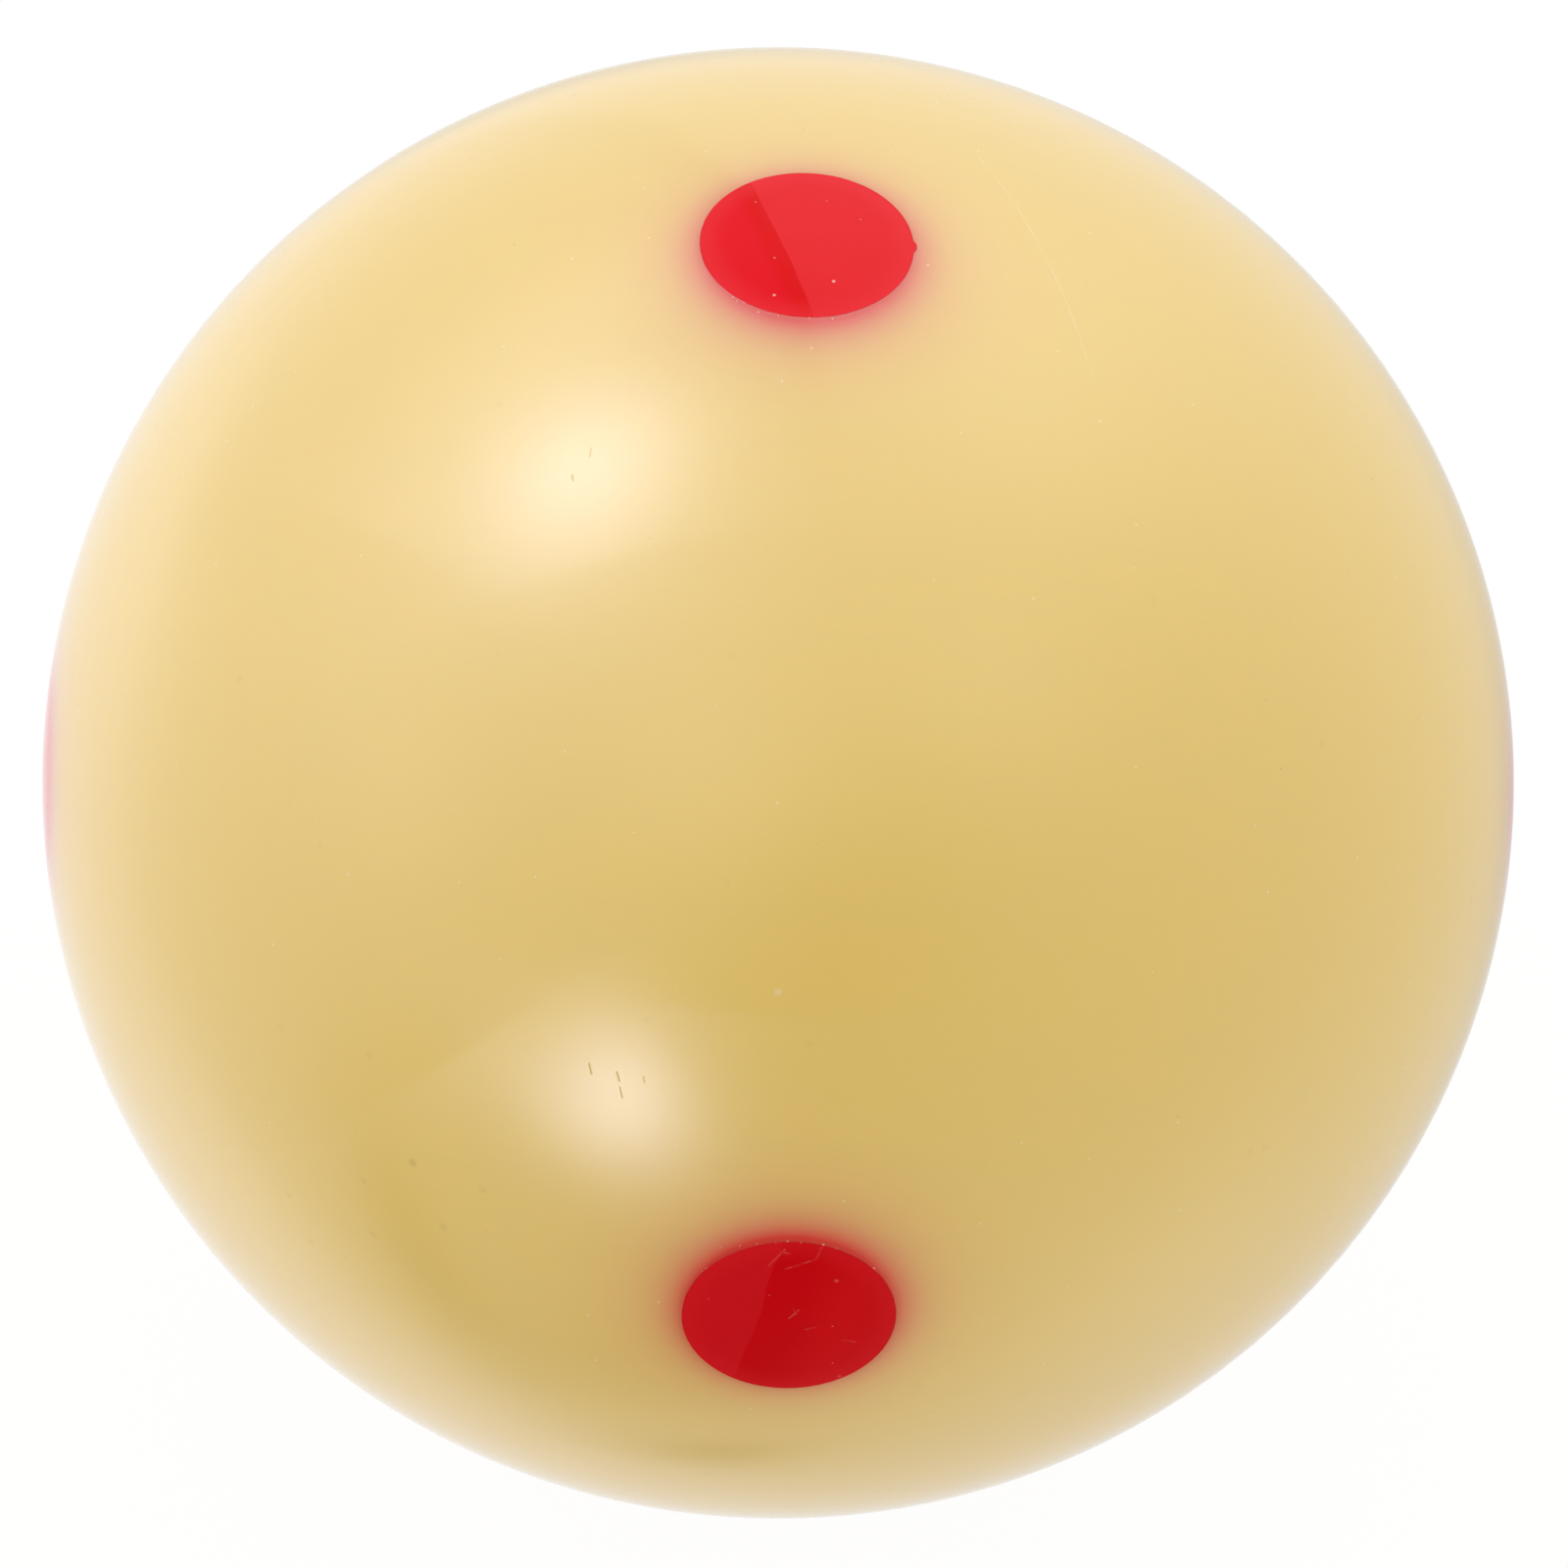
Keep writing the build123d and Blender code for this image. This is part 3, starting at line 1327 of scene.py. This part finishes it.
@dataclass
class Studio:
    """A white studio: its light, its pale floor and the camera."""

    ball_radius: float
    lens: float = 300.0
    sensor: float = 36.0
    distance: float = 508.2
    azimuth: float = -2.96
    elevation: float = 44.62
    roll: float = 3.06
    shift: tuple[float, float] = (0.00376, -0.00072)
    nearest: float = 10.0  # what the camera sees
    farthest: float = 10000.0
    wall_light: float = 0.48  # what the polish mirrors where no patch is
    soft_light: float = 0.955  # what lights the resin from all round
    soft_lean: tuple[float, float, float] = (-0.045, 0.19, 0.1)  # more from behind and above
    soft_blue: float = 0.11  # how much bluer the soft light is than neutral
    blue_lean: tuple[float, float, float] = (-0.04, 0.16, -0.23)  # bluer from behind and below
    box_colour: tuple[float, float, float] = (0.88, 0.94, 1.21)  # the soft boxes are a cooler white
    floor_half: float = 2000.0
    floor_white: float = 0.05  # the light that the floor scatters
    floor_glow: float = 0.955  # the light that comes through it

    def mirrored_light(self, tree: NodeTree, toward: bpy.types.NodeSocket) -> Node:
        """Adds the nodes that give what the polish mirrors.

        Args:
            tree: the world's node tree.
            toward: the direction.

        Returns:
            The colour of the room and its soft boxes.
        """
        gap = PanelGap().shade(tree, toward)
        start = add_node(tree, "Math", {0: gap, 1: self.wall_light}, operation="ADD")
        room = mirrored(tree, toward, ROOM, start)
        first, *others = (edge.shade(tree, toward) for edge in BOX_EDGES)
        for other in others:
            first = add_node(tree, "Math", {0: first, 1: other}, operation="ADD")
        boxes = mirrored(tree, toward, SOFT_BOXES, first)
        cool = add_node(
            tree, "VectorMath", {0: self.box_colour, "Scale": boxes}, operation="SCALE"
        )
        grey = add_node(tree, "CombineXYZ", {0: room, 1: room, 2: room})
        return add_node(tree, "VectorMath", {0: cool, 1: grey}, operation="ADD")

    def soft_colour(self, tree: NodeTree, toward: bpy.types.NodeSocket) -> Node:
        """Adds the nodes that give the soft light on the resin.

        Args:
            tree: the world's node tree.
            toward: the direction.

        Returns:
            The light's colour.
        """
        soft, extra = (
            add_node(
                tree,
                "Math",
                {
                    0: add_node(tree, "VectorMath", {0: toward, 1: lean}, operation="DOT_PRODUCT"),
                    1: level,
                },
                operation="ADD",
            )
            for lean, level in (
                (self.soft_lean, self.soft_light),
                (self.blue_lean, self.soft_blue),
            )
        )
        blue = add_node(tree, "Math", {0: soft, 1: extra}, operation="ADD")
        return add_node(tree, "CombineXYZ", {0: soft, 1: soft, 2: blue})

    def light(self) -> None:
        """Makes the light: a bright surround, and what the polish mirrors of it."""
        world = bpy.data.worlds.new("white_studio")
        world.use_nodes = True
        bpy.context.scene.world = world
        tree = world.node_tree
        tree.nodes.clear()
        toward = add_node(tree, "TexCoord").outputs["Generated"]
        ray = add_node(tree, "LightPath")
        level = self.soft_colour(tree, toward)
        for kind_of_ray, colour in (
            ("Is Glossy Ray", self.mirrored_light(tree, toward)),
            ("Is Camera Ray", (1.0, 1.0, 1.0, 1.0)),
        ):
            level = add_node(
                tree,
                "Mix",
                {0: ray.outputs[kind_of_ray], 6: level, 7: colour},
                data_type="RGBA",
            )
        background = add_node(tree, "Background", {"Color": level})
        add_node(tree, "OutputWorld", {"Surface": background})

    def lay_floor(self) -> None:
        """Makes the floor, a pale lit sheet that the ball stands on."""
        half = self.floor_half * MM
        low = -self.ball_radius * MM
        corners = [(-half, -half, low), (half, -half, low), (half, half, low), (-half, half, low)]
        mesh = bpy.data.meshes.new("floor")
        mesh.from_pydata(corners, [], [(0, 1, 2, 3)])
        acrylic = new_material("backlit_white_acrylic_sheet")
        add_shader(
            acrylic.node_tree,
            {
                "Base Color": (self.floor_white, self.floor_white, self.floor_white, 1.0),
                "Roughness": 0.8,
                "Specular IOR Level": 0.0,
                "Emission Color": (1.0, 1.0, 1.0, 1.0),
                "Emission Strength": self.floor_glow,
            },
        )
        mesh.materials.append(acrylic)
        floor = bpy.data.objects.new("floor", mesh)
        bpy.context.scene.collection.objects.link(floor)
        floor.visible_diffuse = False
        floor.visible_glossy = False
        floor.visible_transmission = False
        floor.visible_shadow = False
        floor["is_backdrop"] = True

    def hang_camera(self) -> None:
        """Makes the camera and gives it to the scene."""
        data = bpy.data.cameras.new("camera")
        data.lens = self.lens
        data.sensor_width = self.sensor
        data.shift_x, data.shift_y = self.shift
        data.clip_start = self.nearest * MM
        data.clip_end = self.farthest * MM
        camera = bpy.data.objects.new("camera", data)
        bpy.context.scene.collection.objects.link(camera)
        place = heading(self.azimuth, self.elevation) * self.distance * MM
        turn = facing(self.azimuth, self.elevation, self.roll)
        camera.matrix_world = Matrix.Translation(place) @ turn.to_4x4()
        bpy.context.scene.camera = camera


@dataclass
class CueBall:
    """The whole ball: its core, its ivory body and the six red plugs."""

    ball_radius: float
    hollow_radius: float
    floor_height: float
    gate_flat_radius: float = 4.0

    @classmethod
    def from_frame(cls) -> "CueBall":
        """Reads the ball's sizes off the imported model.

        Returns:
            The ball.
        """
        return cls(
            ball_radius=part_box("dot_plug_top")[1].z / MM,
            hollow_radius=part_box("core")[1].z / MM,
            floor_height=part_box("dot_plug_top")[0].z / MM,
        )

    def reds(self, dot_radius: float) -> dict[Dot, RedResin]:
        """The red of each plug: the top one's, the front one's, and one for the rest. The top
        one's red is painted lighter and the front one's darker, as painted light and shade.

        Args:
            dot_radius: in millimetres.

        Returns:
            The finishes.
        """
        # The top plug's red is painted lighter, as painted light from above
        bright = RedResin(
            self.ball_radius,
            dot_radius,
            name="cast_red_resin_painted_lit_top",
            colour="e6051b",
            # the painted reflection's lighter side and its dark band
            reflection_lit_colour="e8242c",
            mottle_and_reflection_band_colour="df0109",
            rim_colour="ee2f3a",
            painted_reflection=PaintedReflectionBand(azimuth=107.0, elevation=0.0, place=-0.85, width=1.15),
            specks=PAINTED_RIM_GLINTS + TOP_SPECKS,
        )
        # The front plug's red is painted darker, as painted shade on the front
        deep = RedResin(
            self.ball_radius,
            dot_radius,
            name="cast_red_resin_painted_shade_front",
            colour="ce0a11",
            # the painted reflection's lighter side and its dark band
            reflection_lit_colour="ce111a",
            mottle_and_reflection_band_colour="c7020a",
            rim_colour="d41a20",
            painted_reflection=PaintedReflectionBand(azimuth=-90.0, elevation=11.3, place=1.29, width=3.4),
            specks=PAINTED_RIM_GLINTS + FRONT_SPECKS,
            scuffs=FRONT_SCUFFS,
            dust_and_glint_colour="ee8f88",
        )
        glossy = replace(
            bright,
            name="cast_red_resin_glossy",
            colour="de0818",
            # the painted reflection's lighter side and dark band, on the top plug's band
            reflection_lit_colour="df1c26",
            mottle_and_reflection_band_colour="d8020a",
            rim_colour="e52632",
            specular=0.5,
            specks=PAINTED_RIM_GLINTS,
        )
        return {dot: glossy for dot in Dot} | {Dot.TOP: bright, Dot.FRONT: deep}

    def finish_piece(
        self, piece: bpy.types.Object, material: bpy.types.Material, node: str
    ) -> None:
        """Dresses a piece and ties it to the CAD.

        Args:
            piece: the piece.
            material: its finish.
            node: the CAD node that it stands for.
        """
        piece.data.materials.append(material)
        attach(piece, "root")
        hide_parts(node)
        log.info("%s: %d faces, stands for %s", piece.name, len(piece.data.polygons), node)

    def build(self) -> None:
        """Makes and dresses every piece; the top pocket is the one with a nib."""
        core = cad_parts["core"]
        core.data.materials.clear()
        core.data.materials.append(FilledCoreResin().build())
        log.info("core: kept from the CAD")
        nibs = {Dot.TOP: Nib()}
        pockets = {
            dot: Pocket(self.ball_radius, self.floor_height, nib=nibs.get(dot)) for dot in Dot
        }
        dot_radius = pockets[Dot.TOP].radius
        body = BallBody(self.ball_radius, self.hollow_radius, self.gate_flat_radius, pockets)
        ivory = IvoryResin(self.ball_radius, dot_radius).build()
        self.finish_piece(body.build(), ivory, "ball_body")
        reds = self.reds(dot_radius)
        finishes = {red.name: red.build() for red in dict.fromkeys(reds.values())}
        for dot, pocket in pockets.items():
            plug = DotPlug(dot, pocket).build()
            self.finish_piece(plug, finishes[reds[dot].name], f"dot_plug_{dot.label}")


def save_sizes() -> None:
    """Works out the CAD box and the visual model's box, in metres."""
    boxes = {"cad": cad_box, "visual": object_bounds()}
    sizes = {name: [list(corner) for corner in box] for name, box in boxes.items()}


def main() -> None:
    """Builds the ball and its studio."""
    logging.basicConfig(level=logging.INFO, format="%(name)s: %(message)s", stream=sys.stdout)
    ball = CueBall.from_frame()
    ball.build()
    studio = Studio(ball.ball_radius)
    studio.light()
    studio.lay_floor()
    studio.hang_camera()
    bpy.context.scene.view_settings.view_transform = "Standard"
    log.info("studio: light, floor and camera")
    save_sizes()


if __name__ == "__main__":
    main()
